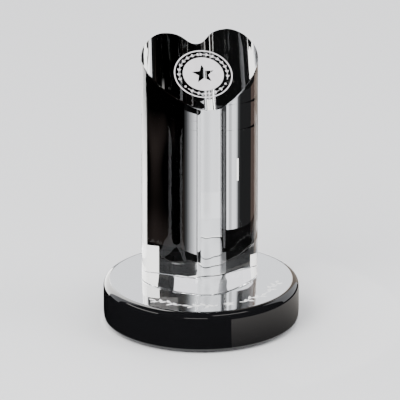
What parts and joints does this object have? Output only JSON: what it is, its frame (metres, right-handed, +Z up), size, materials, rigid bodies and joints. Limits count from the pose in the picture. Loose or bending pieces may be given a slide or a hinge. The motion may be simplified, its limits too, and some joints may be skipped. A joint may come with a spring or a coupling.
{
  "type": "column trophy",
  "caption": "Free-standing award: a clear crystal column of heart-shaped section, its slanted top face frosted with a round seal, bonded to a round black glass base with rolled edges.",
  "frame": {"origin": "middle of the underside, on the surface the trophy stands on", "axes": "+Z up along the column; the tip of the heart section points to -Y (front) and its two lobes to +Y; YZ is the plane of symmetry"},
  "size_m": [0.1, 0.1, 0.1498],
  "materials": {
    "clear_crystal": "polished optic crystal, water clear",
    "black_glass": "mirror-polished opaque black glass",
    "frosted_crystal": "fine sandblasted frosting",
    "white_paint": "white paint fill, satin, slightly uneven",
    "black_felt": "short black felt",
    "clear_adhesive": "cured clear adhesive"
  },
  "bodies": {
    "root": {"crystal_column": "clear_crystal", "bond_film": "clear_adhesive", "base_disc": "black_glass", "pad_adhesive": "clear_adhesive", "felt_pad": "black_felt", "seal_ring": "frosted_crystal", "seal_disc": "frosted_crystal", "seal_laurel_upper": "frosted_crystal", "seal_laurel_lower": "frosted_crystal", "seal_bead_left": "frosted_crystal", "seal_bead_right": "frosted_crystal", "garland_star": "white_paint", "garland_sprig_left_inner": "white_paint", "garland_sprig_left_outer": "white_paint", "garland_sprig_right_inner": "white_paint", "garland_sprig_right_outer": "white_paint"}
  },
  "joints": []
}
